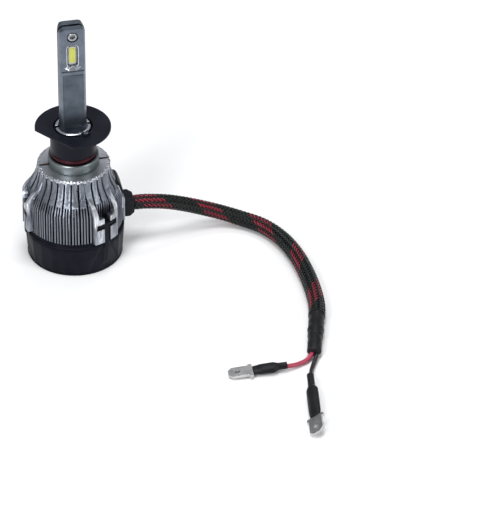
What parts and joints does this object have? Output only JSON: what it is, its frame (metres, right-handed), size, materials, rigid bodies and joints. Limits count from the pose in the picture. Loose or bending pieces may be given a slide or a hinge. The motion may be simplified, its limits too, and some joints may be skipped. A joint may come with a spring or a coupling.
{
  "type": "headlight bulb",
  "caption": "LED headlight bulb with an adjustable H1 cap, a flat two-sided stem, a finned heat sink with a fan, and a braided cord ending in two male tabs.",
  "frame": {"origin": "centre of the fan's mouth at its lowest rim, on the bulb's axis, where the bulb stands", "axes": "+Z along the bulb from the fan to the tip; +X towards the cable grommet; the light emitting faces look along -Y and +Y"},
  "size_m": [0.0878, 0.1266, 0.0856],
  "materials": {
    "black_plastic": "satin moulded, blue-black",
    "fan_plastic": "satin moulded black",
    "circuit_board": "green solder mask",
    "steel": "ground steel",
    "copper": "bare copper",
    "bronze": "sintered bronze",
    "sink_aluminium": "satin anodised, blue-grey",
    "bright_aluminium": "turned, bright",
    "component_plastic": "moulded component bodies",
    "red_insulation": "satin PVC insulation",
    "wire_insulation": "pale insulation",
    "stem_aluminium": "satin anodised, dark blue-grey",
    "cover_aluminium": "satin anodised, dark slate",
    "led_board": "white solder mask on copper",
    "led_ceramic": "white ceramic",
    "phosphor": "yellow phosphor under silicone",
    "red_rubber": "silicone O-ring",
    "black_rubber": "moulded rubber",
    "braid": "braided monofilament, black with crimson",
    "heat_shrink": "shrunk polyolefin",
    "black_insulation": "satin PVC insulation",
    "tinned_brass": "tin-plated brass",
    "magnet": "bonded ferrite",
    "collar_black": "black anodised, satin"
  },
  "bodies": {
    "lamp": {"fan_housing": "black_plastic", "fan_frame": "black_plastic", "fan_board": "circuit_board", "stator_core": "steel", "stator_coils": "copper", "shaft_bearing": "bronze", "heat_sink_front": "sink_aluminium", "heat_sink_rear": "sink_aluminium", "neck_ring": "bright_aluminium", "core_plate": "copper", "driver_board": "circuit_board", "driver_components": "component_plastic", "driver_leads": "red_insulation", "led_wires": "wire_insulation", "stem_front_shell": "stem_aluminium", "stem_rear_shell": "stem_aluminium", "stem_front_cover": "cover_aluminium", "stem_rear_cover": "cover_aluminium", "led_board_front": "led_board", "led_board_rear": "led_board", "led_package_front": "led_ceramic", "led_package_rear": "led_ceramic", "led_phosphor_front": "phosphor", "led_phosphor_rear": "phosphor", "stem_screws": "steel", "o_ring": "red_rubber", "cable_grommet": "black_rubber", "braided_sleeve": "braid", "sleeve_boot": "heat_shrink", "red_lead": "red_insulation", "black_lead": "black_insulation", "red_terminal_sleeve": "heat_shrink", "black_terminal_sleeve": "heat_shrink", "red_terminal": "tinned_brass", "black_terminal": "tinned_brass"},
    "fan_rotor": {"impeller": "fan_plastic", "rotor_yoke": "steel", "rotor_magnet": "magnet", "rotor_shaft": "steel", "shaft_clip": "wire_insulation"},
    "collar": {"flange_collar": "collar_black", "set_screw": "steel"}
  },
  "joints": [
    {"name": "fan_spin", "type": "hinge", "parent": "lamp", "child": "fan_rotor", "pos_m": [0, 0, 0.0057], "axis": [0, 0, 1], "continuous": true},
    {"name": "collar_turn", "type": "hinge", "parent": "lamp", "child": "collar", "pos_m": [0, 0, 0.043], "axis": [0, 0, 1], "continuous": true}
  ]
}
